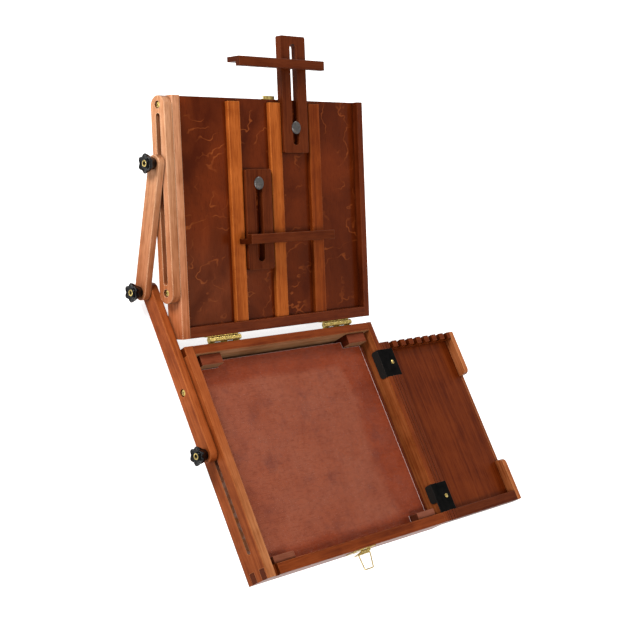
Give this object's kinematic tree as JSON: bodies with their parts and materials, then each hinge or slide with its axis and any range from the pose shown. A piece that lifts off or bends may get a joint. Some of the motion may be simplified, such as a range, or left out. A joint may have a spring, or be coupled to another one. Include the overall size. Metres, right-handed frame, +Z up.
{
  "type": "pochade box",
  "caption": "Shallow wooden paint box whose slotted lid opens as an easel on a folding side linkage, with a lift-out palette, panel clamps and a clip-on brush tray.",
  "frame": {"origin": "mouth of the tripod socket, in the middle of the underside of the base", "axes": "+Z up, -Y to the front where the painter stands, +X to the painter's right, on the brush tray's side"},
  "size_m": [0.6218, 0.7739, 0.241],
  "materials": {
    "frame_wood": "satin stained",
    "arm_wood": "satin stained",
    "panel_wood": "gloss stained",
    "batten_wood": "satin stained",
    "palette_wood": "gloss varnished",
    "clamp_wood": "satin stained",
    "block_wood": "satin stained",
    "bottom_wood": "plain",
    "clear_sheet": "clear",
    "brass": "polished",
    "steel": "plated",
    "black_steel": "satin",
    "knob_plastic": "gloss"
  },
  "bodies": {
    "base": {"base_left_wall": "frame_wood", "base_right_wall": "frame_wood", "base_front_wall": "frame_wood", "base_back_wall": "frame_wood", "base_bottom_panel": "bottom_wood", "palette_cleats": "block_wood", "corner_blocks": "block_wood", "tripod_block": "block_wood", "tripod_insert": "brass", "base_hinge_leaves": "brass", "hinge_pins": "brass", "base_hinge_screws": "brass", "latch_plate": "brass", "latch_plate_screws": "brass", "latch_pin": "brass"},
    "lid": {"lid_left_rail": "frame_wood", "lid_right_rail": "frame_wood", "lid_hinge_rail": "frame_wood", "lid_board": "panel_wood", "left_batten": "batten_wood", "middle_batten": "batten_wood", "right_batten": "batten_wood", "slotted_bar": "arm_wood", "bar_screws": "brass", "lid_hinge_leaves": "brass", "lid_hinge_screws": "brass", "lid_catch": "brass", "clamp_bolts": "steel", "clamp_washers": "steel"},
    "slot_nut": {"slot_nut": "steel"},
    "lower_arm": {"lower_arm": "arm_wood", "lower_bolt": "steel", "arm_guide_screw": "brass", "middle_bolt": "steel"},
    "upper_link": {"upper_link": "arm_wood", "upper_bolt": "steel"},
    "lower_knob": {"lower_knob": "knob_plastic", "lower_knob_insert": "brass"},
    "middle_knob": {"middle_knob": "knob_plastic", "middle_knob_insert": "brass"},
    "upper_knob": {"upper_knob": "knob_plastic", "upper_knob_insert": "brass"},
    "lower_clamp": {"lower_clamp_bar": "clamp_wood", "lower_clamp_tongue": "clamp_wood"},
    "upper_clamp": {"upper_clamp_bar": "clamp_wood", "upper_clamp_tongue": "clamp_wood"},
    "lower_wing_nut": {"lower_wing_nut": "steel"},
    "upper_wing_nut": {"upper_wing_nut": "steel"},
    "palette": {"palette_board": "palette_wood", "palette_sheet": "clear_sheet"},
    "tray": {"tray_floor": "panel_wood", "tray_left_rail": "frame_wood", "tray_outer_rail": "frame_wood", "tray_brush_comb": "frame_wood", "tray_front_rail": "frame_wood", "tray_hook_clips": "black_steel", "tray_clip_screws": "brass"},
    "latch_lever": {"latch_lever": "brass"},
    "latch_bail": {"latch_bail": "brass"}
  },
  "joints": [
    {"name": "lid_hinge", "type": "hinge", "parent": "base", "child": "lid", "pos_m": [0, 0.1751, 0.04365], "axis": [-1, 0, 0], "range_deg": [-153.6, 6]},
    {"name": "arm_slide", "type": "slide", "parent": "base", "child": "lower_arm", "axis": [0, 1, 0], "range_m": [-0.1432, 0.0058]},
    {"name": "link_pivot", "type": "hinge", "parent": "lower_arm", "child": "upper_link", "pos_m": [-0.216, 0.267, 0.023], "axis": [-1, 0, 0], "range_deg": [-128.9, 5.2]},
    {"name": "slot_nut_slide", "type": "slide", "parent": "lid", "child": "slot_nut", "axis": [0, 0.8957, 0.4446], "range_m": [-0.0215, 0.001]},
    {"name": "lower_knob_turn", "type": "hinge", "parent": "lower_arm", "child": "lower_knob", "pos_m": [-0.218, 0.018, 0.023], "axis": [-1, 0, 0], "continuous": true},
    {"name": "middle_knob_turn", "type": "hinge", "parent": "lower_arm", "child": "middle_knob", "pos_m": [-0.229, 0.267, 0.023], "axis": [-1, 0, 0], "continuous": true},
    {"name": "upper_knob_turn", "type": "hinge", "parent": "upper_link", "child": "upper_knob", "pos_m": [-0.229, 0.40706, 0.14222], "axis": [-1, 0, 0], "continuous": true},
    {"name": "lower_clamp_slide", "type": "slide", "parent": "lid", "child": "lower_clamp", "axis": [0, -0.8957, -0.4446], "range_m": [-0.07, 0.0015]},
    {"name": "upper_clamp_slide", "type": "slide", "parent": "lid", "child": "upper_clamp", "axis": [0, -0.8957, -0.4446], "range_m": [-0.0185, 0.081]},
    {"name": "lower_wing_nut_turn", "type": "hinge", "parent": "lid", "child": "lower_wing_nut", "pos_m": [-0.0371, 0.38241, 0.12328], "axis": [0, 0.4446, -0.8957], "continuous": true},
    {"name": "upper_wing_nut_turn", "type": "hinge", "parent": "lid", "child": "upper_wing_nut", "pos_m": [0.0452, 0.45586, 0.15974], "axis": [0, 0.4446, -0.8957], "continuous": true},
    {"name": "palette_lift", "type": "slide", "parent": "base", "child": "palette", "axis": [0, 0, 1], "range_m": [0, 0.06]},
    {"name": "tray_lift", "type": "slide", "parent": "base", "child": "tray", "axis": [0, 0, 1], "range_m": [0, 0.04]},
    {"name": "latch_lever_hinge", "type": "hinge", "parent": "base", "child": "latch_lever", "pos_m": [0.002, -0.1736, 0.038], "axis": [-1, 0, 0], "range_deg": [-6, 70]},
    {"name": "latch_bail_hinge", "type": "hinge", "parent": "latch_lever", "child": "latch_bail", "pos_m": [0.002, -0.17585, 0.03332], "axis": [1, 0, 0], "range_deg": [-95, 60]}
  ],
  "couplings": [
    {"joint": "arm_slide", "follows": "lid_hinge", "m_per_rad": 0.053342},
    {"joint": "link_pivot", "follows": "lid_hinge", "ratio": 0.83638},
    {"joint": "slot_nut_slide", "follows": "lid_hinge", "m_per_rad": 0.00747}
  ]
}
